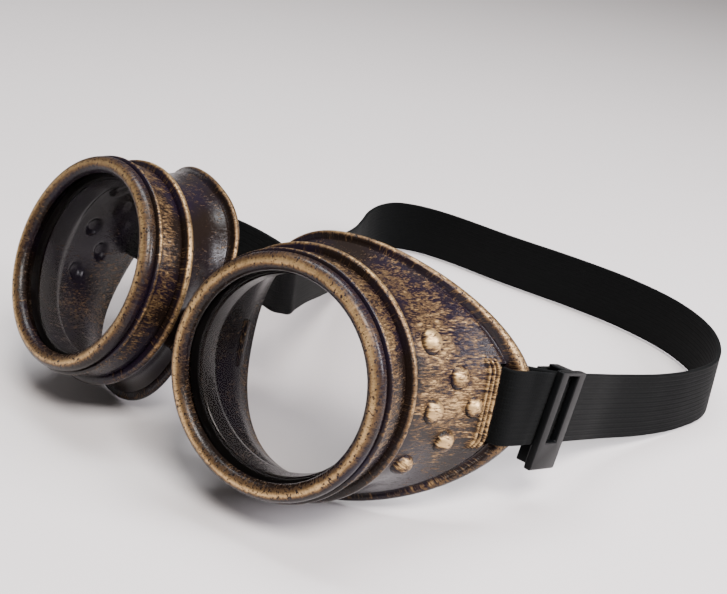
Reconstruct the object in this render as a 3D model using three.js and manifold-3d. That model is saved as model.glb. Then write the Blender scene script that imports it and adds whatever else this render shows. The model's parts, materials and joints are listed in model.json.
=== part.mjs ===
// Round two-cup safety goggles: moulded eyecups with embossed temple wings, threaded lens rings,
// clear lenses, a short bridge strip and a flat elastic head strap with one slider.
// Millimetres. +Z is up, the lenses face -Y, +X is the wearer's left. The goggles lie as put down
// on a table: on both cups' rims and on the back of the strap.

import * as THREE from 'three';
import { mergeVertices } from 'three/addons/utils/BufferGeometryUtils.js';
import Module from 'manifold-3d';

const wasm = await Module();
wasm.setup();

// ---------- driving dimensions ----------

const GAP = 0.3; // between pieces that touch
const CENTRE_SHIFT = new THREE.Vector3(-1, -95.6, 0.46); // puts the origin under the middle of the whole
const CUP_SPACING = 77; // between the lens centres
const SEGMENTS = 48; // round an eyecup or a ring

// How each cup lies: height of its lens centre, and its turn in degrees.
const POSES = {
  left: { side: 1, height: 40.3, yaw: 9.8, pitch: -13.2, twist: -3 },
  right: { side: -1, height: 43.4, yaw: -6.4, pitch: -21.9, twist: 12.8 },
};

// Depths are measured back from the lens ring's foremost plane, radii from the lens axis.
const APERTURE_RADIUS = 25.5;
const BEAD_RADIUS = 30.1;
const BAND_RADIUS = 30.3;
const RING_DEPTH = 12.2;
const LENS_RADIUS = 27.5;
const LENS_THICKNESS = 2.4;
const LENS_DEPTH = 2.9; // of its front face
const GASKET_THICKNESS = 1.0;
const NECK_RADIUS = 27.6;
const NECK_BORE = 24.6;
const NECK_DEPTH = LENS_DEPTH + LENS_THICKNESS + GASKET_THICKNESS + 2 * GAP;
const FLANGE_RADIUS = 32.3;
const FLANGE_DEPTH = RING_DEPTH + GAP;
const FLANGE_WIDTH = 2.4;
const THREAD_PITCH = 3;
const THREAD_HEIGHT = 0.8;
const RING_BORE = NECK_RADIUS + THREAD_HEIGHT + GAP;

// The eyecup's rear rim: a round egg seen from the front, drawn out to the temple wing.
const BODY_RADIUS = 30.2; // behind the flange
const RIM_HEIGHT = 33.8;
const RIM_NOSE = 26.1;
const RIM_WING = 46.1;
const WING_FLAT = 43.8; // the wing ends in a flat, as tall as the strap is wide
const RIM_BEAD = 1.3; // how far the rim's rounded edge stands out
const WALL = 2.3;
const WING_SLOT = { from: 0.75, to: 0.86, height: 22 }; // along the wing, and its length up and down

const DOMES = [ // along the wing, angle above the lens axis' level in degrees, radius
  { along: 0.23, angle: 30, radius: 3.5 },
  { along: 0.23, angle: -2.5, radius: 3.3 },
  { along: 0.23, angle: -32, radius: 3.3 },
  { along: 0.425, angle: 13.5, radius: 3.3 },
  { along: 0.43, angle: -18.5, radius: 3.3 },
  { along: 0.6, angle: -1, radius: 3 },
];

const DOME_SUNK = 0.95; // how far a dome's centre lies under the skin

const STRAP_WIDTH = 20;
const STRAP_THICKNESS = 1.2;
const STRAP_ON_FLOOR = STRAP_WIDTH / 2 - 0.1;
const BRIDGE_WIDTH = 10;
const BRIDGE_THICKNESS = 1.6;

// ---------- helpers ----------

function signedVolume(positions, index) {
  const corners = [new THREE.Vector3(), new THREE.Vector3(), new THREE.Vector3()];
  let sum = 0;
  for (let i = 0; i < index.length; i += 3) {
    corners.forEach((corner, k) => corner.fromArray(positions, 3 * index[i + k]));
    sum += corners[0].dot(corners[1].cross(corners[2]));
  }
  return sum;
}

// Merges shared corners, drops slivers and turns the faces outward.
function closed(geometry) {
  const bare = geometry.index ? geometry.toNonIndexed() : geometry.clone();
  bare.deleteAttribute('normal');
  bare.deleteAttribute('uv');
  const merged = mergeVertices(bare, 1e-4);
  const index = [];
  const old = merged.index.array;
  for (let i = 0; i < old.length; i += 3) {
    const [a, b, c] = [old[i], old[i + 1], old[i + 2]];
    if (a !== b && b !== c && c !== a) index.push(a, b, c);
  }
  if (signedVolume(merged.attributes.position.array, index) < 0) index.reverse();
  merged.setIndex(index);
  return merged;
}

// A skin over a row of outlines with equal point counts. A ringed skin joins its last outline to
// its first, as round a pipe wall; any other is capped at both ends.
function loft(outlines, ringed = false) {
  const count = outlines[0].length;
  const positions = outlines.flat().flatMap((point) => [point.x, point.y, point.z]);
  const index = [];
  const spans = ringed ? outlines.length : outlines.length - 1;
  for (let k = 0; k < spans; k += 1) {
    const here = k * count;
    const next = ((k + 1) % outlines.length) * count;
    for (let i = 0; i < count; i += 1) {
      const j = (i + 1) % count;
      index.push(here + i, here + j, next + j, here + i, next + j, next + i);
    }
  }
  if (!ringed) {
    const last = (outlines.length - 1) * count;
    for (let i = 1; i < count - 1; i += 1) {
      index.push(0, i + 1, i, last, last + i, last + i + 1);
    }
  }
  const geometry = new THREE.BufferGeometry();
  geometry.setAttribute('position', new THREE.Float32BufferAttribute(positions, 3));
  geometry.setIndex(index);
  return closed(geometry);
}

function toSolid(geometry) {
  const merged = closed(geometry);
  return new wasm.Manifold(new wasm.Mesh({
    numProp: 3,
    vertProperties: new Float32Array(merged.attributes.position.array),
    triVerts: new Uint32Array(merged.index.array),
  }));
}

function fromSolid(solid) {
  const mesh = solid.getMesh();
  const geometry = new THREE.BufferGeometry();
  geometry.setAttribute('position', new THREE.BufferAttribute(mesh.vertProperties, 3));
  geometry.setIndex(new THREE.BufferAttribute(mesh.triVerts, 1));
  return geometry;
}

function join(...geometries) {
  return fromSolid(geometries.map(toSolid).reduce((sum, next) => sum.add(next)));
}

function cut(geometry, ...tools) {
  return fromSolid(tools.map(toSolid).reduce((rest, tool) => rest.subtract(tool), toSolid(geometry)));
}

function box(width, depth, height, x = 0, y = 0, z = 0) {
  return new THREE.BoxGeometry(width, depth, height).translate(x, y, z);
}

function lathe(profile) {
  const points = profile.map(([radius, depth]) => new THREE.Vector2(radius, depth));
  return closed(new THREE.LatheGeometry([...points, points[0].clone()], SEGMENTS));
}

// Part of a circle in a lathe profile, from one angle to another in degrees.
function arc(radius, depth, size, from, to, steps) {
  return Array.from({ length: steps + 1 }, (_, i) => {
    const angle = THREE.MathUtils.degToRad(from + ((to - from) * i) / steps);
    return [radius + size * Math.cos(angle), depth - size * Math.sin(angle)];
  });
}

// A flat band along a route. Each station is a place and the direction of the band's width.
function band(stations, width, thickness) {
  const outlines = stations.map((station, i) => {
    const before = stations[Math.max(i - 1, 0)].place;
    const after = stations[Math.min(i + 1, stations.length - 1)].place;
    const along = after.clone().sub(before).normalize();
    const up = station.up.clone().addScaledVector(along, -station.up.dot(along)).normalize();
    const out = along.clone().cross(up);
    return [[1, 1], [1, -1], [-1, -1], [-1, 1]].map(([a, b]) => station.place.clone()
      .addScaledVector(up, (a * width) / 2)
      .addScaledVector(out, (b * thickness) / 2));
  });
  return loft(outlines);
}

function finish(color, roughness, metalness, extra = {}) {
  return new THREE.MeshStandardMaterial({ color, roughness, metalness, ...extra });
}

const FINISHES = {
  bronze: () => finish(0x6e5230, 0.42, 0.55),
  lens: () => finish(0xcfd2d0, 0.05, 0, { transparent: true, opacity: 0.25 }),
  gasket: () => finish(0x1b191a, 0.7, 0),
  elastic: () => finish(0x101214, 0.9, 0),
  thread: () => finish(0x1c1d20, 0.85, 0),
  slider: () => finish(0x131416, 0.35, 0),
  bridge: () => finish(0x151416, 0.55, 0),
  stud: () => finish(0x7d6238, 0.4, 0.9),
};

function piece(name, geometry, finishName) {
  const mesh = new THREE.Mesh(geometry, FINISHES[finishName]());
  mesh.name = name;
  return mesh;
}

// ---------- lens ring, lens and gasket ----------

// A right-handed ridge round the lens axis. It starts at a depth and climbs to the front.
function threadRidge(rootRadius, crestRadius, depth, startTurn, turns) {
  const steps = Math.round(turns * 24);
  const outlines = [];
  for (let i = 0; i <= steps; i += 1) {
    const turn = startTurn + (turns * i) / steps;
    const angle = 2 * Math.PI * turn;
    const taper = Math.min(1, (4 * Math.min(i, steps - i)) / steps + 0.15);
    const crest = rootRadius + (crestRadius - rootRadius) * taper;
    const at = depth - THREAD_PITCH * turn;
    const root = rootRadius - Math.sign(crestRadius - rootRadius) * 0.4;
    outlines.push([[root, -0.75], [crest, -0.35], [crest, 0.35], [root, 0.75]].map(([radius, shift]) => (
      new THREE.Vector3(radius * Math.cos(angle), at + shift, radius * Math.sin(angle)))));
  }
  return loft(outlines);
}

const MALE_THREAD_DEPTH = 11;

function lensRing() {
  const bead = (BEAD_RADIUS - APERTURE_RADIUS) / 2;
  const beadRadius = APERTURE_RADIUS + bead;
  const frontFlat = bead * Math.cos(THREE.MathUtils.degToRad(72));
  const profile = [
    [APERTURE_RADIUS, LENS_DEPTH - GAP],
    ...arc(beadRadius, bead, bead, 180, 108, 3),
    [beadRadius + frontFlat, bead * (1 - Math.sin(THREE.MathUtils.degToRad(72)))],
    ...arc(beadRadius, bead, bead, 40, -30, 2),
    ...arc(BAND_RADIUS - 0.1, 4.3, 0.75, 60, -60, 2), // the second, thin bead
    [BAND_RADIUS, 6],
    [BAND_RADIUS, RING_DEPTH - 0.5],
    [BAND_RADIUS - 0.5, RING_DEPTH],
    [RING_BORE, RING_DEPTH],
    [RING_BORE, NECK_DEPTH],
    [LENS_RADIUS + GAP, NECK_DEPTH - 0.4],
    [LENS_RADIUS + GAP, LENS_DEPTH - GAP],
  ];
  const halfTurnBack = 0.5;
  const ridge = threadRidge(
    RING_BORE, RING_BORE - THREAD_HEIGHT, MALE_THREAD_DEPTH - THREAD_PITCH * halfTurnBack, 0, 1);
  return join(lathe(profile), ridge);
}

function lens() {
  const back = LENS_DEPTH + LENS_THICKNESS;
  const bevel = 0.3;
  const points = [
    [0, LENS_DEPTH],
    [LENS_RADIUS - bevel, LENS_DEPTH],
    [LENS_RADIUS, LENS_DEPTH + bevel],
    [LENS_RADIUS, back - bevel],
    [LENS_RADIUS - bevel, back],
    [0, back],
  ].map(([radius, depth]) => new THREE.Vector2(radius, depth));
  return closed(new THREE.LatheGeometry(points, SEGMENTS));
}

function lensGasket() {
  const front = LENS_DEPTH + LENS_THICKNESS + GAP;
  const back = front + GASKET_THICKNESS;
  return lathe([
    [APERTURE_RADIUS - 0.4, front],
    [LENS_RADIUS - 0.2, front],
    [LENS_RADIUS - 0.2, back],
    [APERTURE_RADIUS - 0.4, back],
  ]);
}

// ---------- eyecup ----------

function power(value, exponent) {
  return Math.sign(value) * Math.abs(value) ** exponent;
}

// A point of the rear rim's outline. Angle 0 is the wing, 180 degrees the nose.
function rimPoint(angle, side) {
  const c = Math.cos(angle);
  const s = Math.sin(angle);
  const x = c > 0 ? Math.min(RIM_WING * power(c, 1.13), WING_FLAT) : RIM_NOSE * power(c, 0.75);
  const z = RIM_HEIGHT * power(s, c > 0 ? 1.04 : 0.75);
  const u = x / RIM_HEIGHT;
  const depth = 23.7 + 4.8 * u + 13.4 * u * u + 7.4 * (z / RIM_HEIGHT) ** 2;
  return new THREE.Vector3(side * x, depth, z);
}

// A point of the body's outer skin. Along 0 is behind the flange, 1 is the rim's edge.
function bodyPoint(angle, along, side, inset = 0) {
  const start = new THREE.Vector3(
    side * BODY_RADIUS * Math.cos(angle), FLANGE_DEPTH + FLANGE_WIDTH, BODY_RADIUS * Math.sin(angle));
  const place = start.lerp(rimPoint(angle, side), along);
  const outward = new THREE.Vector3(place.x, 0, place.z).normalize();
  const waist = 1.1 * Math.sin(Math.PI * along) ** 2;
  return place.addScaledVector(outward, -inset - waist);
}

function bodyOutward(angle, along, side) {
  const d = 0.01;
  const round = bodyPoint(angle + d, along, side).sub(bodyPoint(angle - d, along, side));
  const back = bodyPoint(angle, along + d, side).sub(bodyPoint(angle, along - d, side));
  return round.cross(back).normalize().multiplyScalar(-side);
}

function outline(pointAt) {
  return Array.from({ length: SEGMENTS }, (_, i) => pointAt((2 * Math.PI * i) / SEGMENTS));
}

function circle(radius, depth) {
  return outline((angle) => new THREE.Vector3(radius * Math.cos(angle), depth, radius * Math.sin(angle)));
}

function eyecupShell(side) {
  const skin = (along, inset) => outline((angle) => bodyPoint(side > 0 ? angle : Math.PI - angle, along, side, inset));
  const flangeEnd = FLANGE_DEPTH + FLANGE_WIDTH;
  return loft([
    circle(NECK_BORE, NECK_DEPTH),
    circle(NECK_RADIUS, NECK_DEPTH),
    circle(NECK_RADIUS, FLANGE_DEPTH),
    circle(FLANGE_RADIUS - 0.6, FLANGE_DEPTH),
    circle(FLANGE_RADIUS, FLANGE_DEPTH + 0.6),
    circle(FLANGE_RADIUS, flangeEnd - 0.8),
    circle(FLANGE_RADIUS - 0.9, flangeEnd - 0.1),
    skin(0, 0),
    skin(0.2, 0),
    skin(0.4, 0),
    skin(0.6, 0),
    skin(0.78, 0),
    skin(0.84, 0.3), // the channel in front of the rim's rounded edge
    skin(0.89, -RIM_BEAD * 0.7),
    skin(0.94, -RIM_BEAD),
    skin(0.985, -RIM_BEAD * 0.7),
    skin(1, 0),
    skin(0.99, WALL),
    skin(0.75, WALL),
    skin(0.5, WALL),
    skin(0.25, WALL),
    skin(0.04, WALL + 0.6),
    circle(NECK_BORE + 0.5, FLANGE_DEPTH + 1),
  ], true);
}

function dome(spec, side) {
  const angle = THREE.MathUtils.degToRad(spec.angle);
  const ball = new THREE.SphereGeometry(spec.radius, 12, 6);
  const centre = bodyPoint(angle, spec.along, side, 0)
    .addScaledVector(bodyOutward(angle, spec.along, side), -DOME_SUNK);
  return ball.translate(centre.x, centre.y, centre.z);
}

// The wing's own directions at its tip: along it towards the back, and outward from it.
function wingFrame(side) {
  const along = bodyPoint(0, WING_SLOT.to, side).sub(bodyPoint(0, WING_SLOT.from, side)).normalize();
  const out = new THREE.Vector3(side * along.y, -side * along.x, 0);
  return { along, out };
}

function wingSlotTool(side) {
  const { along } = wingFrame(side);
  const front = bodyPoint(0, WING_SLOT.from, side, WALL / 2);
  const back = bodyPoint(0, WING_SLOT.to, side, WALL / 2);
  const middle = front.clone().lerp(back, 0.5);
  const tool = box(14, front.distanceTo(back), WING_SLOT.height);
  return tool.rotateZ(-Math.atan2(along.x, along.y)).translate(middle.x, middle.y, middle.z);
}

// The moulded frame that stands round the wing's slot.
function wingSlotFrame(side) {
  const { along } = wingFrame(side);
  const bars = [WING_SLOT.from - 0.055, WING_SLOT.from - 0.015].map((at, i) => {
    const place = bodyPoint(0, at, side, 0.2);
    return box(2.2 - 0.5 * i, 1, WING_SLOT.height + 2).rotateZ(-Math.atan2(along.x, along.y))
      .translate(place.x, place.y, place.z);
  });
  return bars;
}

const LUG = { length: 5.6, thickness: 2.2, height: 13, depth: 23.5 };

// A flat tab on the nose side that the bridge strip is studded to.
function noseLug(side) {
  const wallInside = -side * (RIM_NOSE + 1.2);
  return box(LUG.length + 2, LUG.thickness, LUG.height, wallInside - side * (LUG.length / 2), LUG.depth, 0);
}

const STUD = { shank: 1.4, head: 2.6, headHeight: 1.1, reach: 5 };

function studPlace(side) {
  return new THREE.Vector3(-side * (RIM_NOSE + STUD.reach), LUG.depth, 0);
}

function studHoleTool(side) {
  const place = studPlace(side);
  const radius = STUD.shank + GAP;
  return new THREE.CylinderGeometry(radius, radius, LUG.thickness + 2, 16).translate(place.x, place.y, place.z);
}

function eyecup(side) {
  const neckThread = threadRidge(NECK_RADIUS, NECK_RADIUS + THREAD_HEIGHT, MALE_THREAD_DEPTH, 0, 1.1);
  const domes = DOMES.map((spec) => dome(spec, side));
  const whole = join(eyecupShell(side), neckThread, noseLug(side), ...domes, ...wingSlotFrame(side));
  return cut(whole, wingSlotTool(side), studHoleTool(side));
}

// ---------- where the cups lie ----------

function cupMatrix(name) {
  const pose = POSES[name];
  const turn = new THREE.Euler(
    THREE.MathUtils.degToRad(pose.pitch), THREE.MathUtils.degToRad(pose.twist),
    THREE.MathUtils.degToRad(pose.yaw), 'ZXY');
  return new THREE.Matrix4().makeRotationFromEuler(turn)
    .setPosition((pose.side * CUP_SPACING) / 2, 0, pose.height);
}

const CUP_MATRIX = { left: cupMatrix('left'), right: cupMatrix('right') };

function onTable(name, place) {
  return place.clone().applyMatrix4(CUP_MATRIX[name]);
}

function cupUp(name) {
  return new THREE.Vector3(0, 0, 1).transformDirection(CUP_MATRIX[name]);
}

// ---------- bridge ----------

// A stud through the bridge strip and the nose lug, headed at both ends.
function bridgeStud(side) {
  const place = studPlace(side);
  const front = -(LUG.thickness / 2 + BRIDGE_THICKNESS + 2 * GAP);
  const back = LUG.thickness / 2 + GAP;
  const backHead = STUD.headHeight * 0.7;
  const points = [
    [0, front - STUD.headHeight],
    [STUD.head * 0.6, front - STUD.headHeight],
    [STUD.head, front - STUD.headHeight * 0.4],
    [STUD.head, front],
    [STUD.shank, front],
    [STUD.shank, back],
    [STUD.head, back],
    [STUD.head, back + backHead],
    [0, back + backHead],
  ].map(([radius, depth]) => new THREE.Vector2(radius, depth));
  return closed(new THREE.LatheGeometry(points, 16).translate(place.x, place.y, place.z));
}

// The strip lies on the front of both lugs and twists a little between them.
function bridgeStrap() {
  const depth = LUG.depth - LUG.thickness / 2 - GAP - BRIDGE_THICKNESS / 2;
  const reaches = [STUD.reach - 2, STUD.reach, LUG.length + 2.9];
  const onLug = (name, reach) => {
    const side = POSES[name].side;
    return { place: onTable(name, new THREE.Vector3(-side * (RIM_NOSE + reach), depth, 0)), up: cupUp(name) };
  };
  const left = reaches.map((reach) => onLug('left', reach));
  const right = reaches.map((reach) => onLug('right', reach)).reverse();
  const middle = {
    place: left[2].place.clone().lerp(right[0].place, 0.5).add(new THREE.Vector3(0, -0.4, 0)),
    up: left[2].up.clone().lerp(right[0].up, 0.5),
  };
  const strip = band([...left, middle, ...right], BRIDGE_WIDTH, BRIDGE_THICKNESS);
  const holes = ['left', 'right'].map((name) => (
    studHoleTool(POSES[name].side).translate(0, -2, 0).applyMatrix4(CUP_MATRIX[name])));
  return cut(strip, ...holes);
}

// ---------- head strap ----------

// A point beside the left or right wing: along it, and out from its skin (negative is inside).
function besideWing(name, along, out, back = 0) {
  const side = POSES[name].side;
  const frame = wingFrame(side);
  return onTable(name, bodyPoint(0, along, side)
    .addScaledVector(frame.out, out).addScaledVector(frame.along, back));
}

const SLOT_MIDDLE = (WING_SLOT.from + WING_SLOT.to) / 2;
const OVER_BEAD = RIM_BEAD + GAP + STRAP_THICKNESS / 2 + 0.2;
const INSIDE_WALL = -(WALL + GAP + STRAP_THICKNESS / 2 + 0.8);

// The straight stretch that the slider runs on: its start, direction, outward side and width.
const RUN_START = besideWing('left', 1, OVER_BEAD, 3);
const RUN_ALONG = new THREE.Vector3(-0.03, 0.955, -0.29).normalize();
const RUN_UP = new THREE.Vector3(0, 0, 1).addScaledVector(RUN_ALONG, -RUN_ALONG.z).normalize();
const RUN_OUT = RUN_ALONG.clone().cross(RUN_UP);
const RUN_LENGTH = 48;
const SLIDER_AT = 10.5; // its middle bar, along the run

function onRun(along, out = 0, up = 0) {
  return RUN_START.clone().addScaledVector(RUN_ALONG, along)
    .addScaledVector(RUN_OUT, out).addScaledVector(RUN_UP, up);
}

// The loop behind the cups, as it lies on the table: x, y and the height of the strap's middle.
const LOOP = [
  [78.2, 128, 12.2], [81, 144, 10.6], [81.2, 160, STRAP_ON_FLOOR], [75.2, 174.5, STRAP_ON_FLOOR],
  [64.5, 187, STRAP_ON_FLOOR], [48, 196.6, STRAP_ON_FLOOR], [26, 201.1, STRAP_ON_FLOOR],
  [4, 200.9, STRAP_ON_FLOOR], [-26, 197.8, STRAP_ON_FLOOR], [-56, 195.9, STRAP_ON_FLOOR],
  [-69, 192.3, STRAP_ON_FLOOR], [-75.8, 186.8, STRAP_ON_FLOOR], [-77, 179, STRAP_ON_FLOOR],
  [-74, 168, STRAP_ON_FLOOR], [-67.5, 156, STRAP_ON_FLOOR], [-58.5, 142, 12.5], [-46, 120, 17.5],
  [-31, 95, 25.5], [-16, 71, 34], [-8, 57, 37.5],
];

// The sharp turn behind the nose, and the way back to the right wing.
const TURN = [[-4.6, 50.6, 38.8], [-6.6, 48.4, 39], [-12, 49.4, 39.2], [-30, 52.2, 38.6], [-50, 52.6, 37.4]];

const LOOP_SPACING = 4.5; // between the strap's outlines
const TURN_SPACING = 1.6;

function spaced(points, spacing) {
  const curve = new THREE.CatmullRomCurve3(points, false, 'centripetal');
  return curve.getSpacedPoints(Math.ceil(curve.getLength() / spacing));
}

function standing(places, up = new THREE.Vector3(0, 0, 1)) {
  return places.map((place) => ({ place, up: up.clone() }));
}

// From the left wing's slot round the wearer's head to the loop sewn round the right wing's end.
function headStrap() {
  const leftUp = cupUp('left');
  const rightUp = cupUp('right');
  const fromSlot = [
    besideWing('left', SLOT_MIDDLE, -WALL / 2 + 0.2),
    besideWing('left', SLOT_MIDDLE, 0.6),
    besideWing('left', SLOT_MIDDLE, 1.7, 0.6),
    besideWing('left', WING_SLOT.to, OVER_BEAD, -0.4),
    besideWing('left', 1, OVER_BEAD),
  ].map((place) => ({ place, up: leftUp }));
  const run = standing([0, 0.33, 0.67, 1].map((part) => onRun(RUN_LENGTH * part)), RUN_UP);
  const toPoint = (row) => new THREE.Vector3(...row);
  const loop = standing(spaced([onRun(RUN_LENGTH), ...LOOP.map(toPoint), toPoint(TURN[0])], LOOP_SPACING)
    .slice(1, -1));
  loop.slice(0, 6).forEach((station, i) => station.up.lerp(RUN_UP, 1 - (i + 1) / 7));
  const slotInside = besideWing('right', SLOT_MIDDLE, -WALL - 1.9);
  const turn = standing(spaced([...TURN.map(toPoint), slotInside], TURN_SPACING).slice(0, -1));
  turn.forEach((station, i) => station.up.lerp(rightUp, i / turn.length));
  const roundEnd = [
    slotInside,
    besideWing('right', SLOT_MIDDLE, -WALL / 2),
    besideWing('right', SLOT_MIDDLE, 0.7),
    besideWing('right', SLOT_MIDDLE, 1.8, 0.8),
    besideWing('right', WING_SLOT.to, OVER_BEAD, -0.4),
    besideWing('right', 1, OVER_BEAD, -0.6),
    besideWing('right', 1, OVER_BEAD - 0.8, 1.2),
    besideWing('right', 1, -WALL / 2, 2.2),
  ].map((place) => ({ place, up: rightUp }));
  const tail = farTail().map((place) => ({ place, up: rightUp }));
  return band([...fromSlot, ...run, ...loop, ...turn, ...roundEnd, ...tail], STRAP_WIDTH, STRAP_THICKNESS);
}

// The sewn end lies behind the strap, from the right wing's end towards the nose.
function farTail() {
  const behind = STRAP_THICKNESS + GAP + 0.3;
  return [-64, -58, -52].map((x) => new THREE.Vector3(x, 53.2 + behind, 37.2 - (x + 52) * -0.06));
}

// The adjusting end: from the left wing's slot, inside the wing, round the slider's middle bar.
const TAIL_OVER_BAR = -(STRAP_THICKNESS + GAP + 0.1);
const BAR = { thickness: 1.5, width: 3 };
const TAIL_UNDER_BAR = TAIL_OVER_BAR - STRAP_THICKNESS - BAR.thickness - 2 * GAP;

function strapTail() {
  const leftUp = cupUp('left');
  const inside = [
    besideWing('left', SLOT_MIDDLE, -WALL / 2 - STRAP_THICKNESS / 2 - GAP - 0.4, 0.4),
    besideWing('left', WING_SLOT.to, INSIDE_WALL, -0.2),
    besideWing('left', 1, INSIDE_WALL),
  ].map((place) => ({ place, up: leftUp }));
  const middle = (TAIL_OVER_BAR + TAIL_UNDER_BAR) / 2;
  const reach = (TAIL_OVER_BAR - TAIL_UNDER_BAR) / 2;
  const barHalf = BAR.width / 2;
  const wrap = [60, 20, -20, -60].map((degrees) => {
    const angle = THREE.MathUtils.degToRad(degrees);
    return onRun(SLIDER_AT + barHalf + reach * Math.cos(angle), middle + reach * Math.sin(angle));
  });
  const over = [onRun(SLIDER_AT - 4, TAIL_OVER_BAR), onRun(SLIDER_AT + barHalf, TAIL_OVER_BAR)];
  const under = [onRun(SLIDER_AT + barHalf, TAIL_UNDER_BAR), onRun(SLIDER_AT - 6, TAIL_UNDER_BAR + 0.2)];
  const wrapped = standing([...over, ...wrap, ...under], RUN_UP);
  return band([...inside, ...wrapped], STRAP_WIDTH, STRAP_THICKNESS);
}

// ---------- slider ----------

const SLIDER = { length: 14, height: 27.6, below: 2.6, windowHeight: 22.2, barLength: 2.7 };

// Two bars in front of the strap, one behind it that the adjusting end is looped round.
function strapSlider() {
  const front = { from: STRAP_THICKNESS / 2 + GAP, to: STRAP_THICKNESS / 2 + GAP + 2.1 };
  const back = TAIL_UNDER_BAR + STRAP_THICKNESS / 2 + GAP;
  const frontDepth = front.to - front.from;
  const frontMiddle = (front.from + front.to) / 2;
  const plate = new THREE.Shape();
  const [halfLength, halfHeight, corner] = [SLIDER.length / 2, SLIDER.height / 2, 1.8];
  plate.moveTo(-halfLength + corner, -halfHeight);
  plate.lineTo(halfLength - corner, -halfHeight);
  plate.absarc(halfLength - corner, -halfHeight + corner, corner, -Math.PI / 2, 0);
  plate.absarc(halfLength - corner, halfHeight - corner, corner, 0, Math.PI / 2);
  plate.absarc(-halfLength + corner, halfHeight - corner, corner, Math.PI / 2, Math.PI);
  plate.absarc(-halfLength + corner, -halfHeight + corner, corner, Math.PI, 1.5 * Math.PI);
  const blank = new THREE.ExtrudeGeometry(plate, { depth: frontDepth, bevelEnabled: false, curveSegments: 4 })
    .translate(0, -SLIDER.below, front.from);
  const windowLength = SLIDER.length - 2 * SLIDER.barLength;
  const windowTool = box(windowLength, SLIDER.windowHeight, 3 * frontDepth, 0, -0.4, frontMiddle);
  const frame = cut(blank, windowTool);
  const railDepth = front.to - back;
  const railPlace = SLIDER.windowHeight / 2;
  const rails = [
    { from: railPlace - 0.4, to: SLIDER.height / 2 - SLIDER.below },
    { from: -SLIDER.height / 2 - SLIDER.below, to: -railPlace - 0.4 },
  ].map(({ from, to }) => box(5, to - from, railDepth, 0, (from + to) / 2, back + railDepth / 2));
  const bar = box(BAR.width, SLIDER.windowHeight + 2, BAR.thickness, 0, -0.4, back + BAR.thickness / 2);
  const basis = new THREE.Matrix4().makeBasis(RUN_ALONG, RUN_UP, RUN_OUT).setPosition(onRun(SLIDER_AT));
  return join(frame, ...rails, bar).applyMatrix4(basis);
}

// ---------- the whole ----------

function cup(name) {
  const { side } = POSES[name];
  const group = new THREE.Group();
  group.add(
    piece(`${name}_eyecup`, eyecup(side), 'bronze'),
    piece(`${name}_lens_ring`, lensRing(), 'bronze'),
    piece(`${name}_lens`, lens(), 'lens'),
    piece(`${name}_lens_gasket`, lensGasket(), 'gasket'),
    piece(`${name}_bridge_stud`, bridgeStud(side), 'stud'),
  );
  group.applyMatrix4(CUP_MATRIX[name]);
  return group;
}

const goggles = new THREE.Group();
goggles.add(
  cup('left'),
  cup('right'),
  piece('bridge_strap', bridgeStrap(), 'bridge'),
  piece('head_strap', headStrap(), 'elastic'),
  piece('strap_tail', strapTail(), 'elastic'),
  piece('strap_slider', strapSlider(), 'slider'),
);
goggles.position.copy(CENTRE_SHIFT);

export default goggles;
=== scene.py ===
import json
import math

import bpy
import numpy as np
from mathutils import Matrix, Vector


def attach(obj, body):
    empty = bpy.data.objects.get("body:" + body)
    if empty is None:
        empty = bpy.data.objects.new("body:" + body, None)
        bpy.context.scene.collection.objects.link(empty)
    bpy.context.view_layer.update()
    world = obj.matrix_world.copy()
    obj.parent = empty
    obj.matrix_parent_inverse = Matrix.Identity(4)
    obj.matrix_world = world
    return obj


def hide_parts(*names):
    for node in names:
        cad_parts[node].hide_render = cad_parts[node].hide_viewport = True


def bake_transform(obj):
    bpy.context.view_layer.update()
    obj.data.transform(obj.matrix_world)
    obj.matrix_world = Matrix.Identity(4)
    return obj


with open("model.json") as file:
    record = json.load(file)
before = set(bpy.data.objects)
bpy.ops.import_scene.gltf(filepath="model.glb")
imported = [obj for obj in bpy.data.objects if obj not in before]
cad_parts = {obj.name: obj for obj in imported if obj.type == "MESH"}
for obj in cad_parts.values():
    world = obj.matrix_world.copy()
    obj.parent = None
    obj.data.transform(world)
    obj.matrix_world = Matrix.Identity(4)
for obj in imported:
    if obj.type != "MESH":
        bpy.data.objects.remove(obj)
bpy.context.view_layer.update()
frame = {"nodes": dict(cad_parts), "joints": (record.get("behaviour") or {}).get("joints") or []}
mm = 0.001
joints = {joint["name"]: joint for joint in frame["joints"]}


cameraSetup = {
    "place": (0.2120, -0.2821, 0.1675),
    "azimuth": 38.73,
    "elevation": 22.0,
    "roll": 8.0,
    "lens": 59.42,
}
floorSetup = {"size": 6.0, "colour": (0.64, 0.60, 0.595), "roughness": 0.85}
lightSetup = {
    # name: place, aim, width, height, power, colour
    "keySoftbox": ((0.66, -0.46, 1.05), (0.02, -0.06, 0.03), 0.52, 0.38, 34.0, (1.0, 0.965, 0.94)),
    "topStrip": ((-0.12, 0.15, 1.10), (0.0, -0.05, 0.03), 0.90, 0.33, 17.0, (0.95, 0.97, 1.0)),
    "noseKicker": ((0.55, 0.14, 0.35), (0.0, -0.08, 0.04), 0.16, 0.30, 6.0, (0.95, 0.93, 1.0)),
}
worldLight = {"colour": (0.80, 0.775, 0.77), "strength": 0.27}


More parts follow.
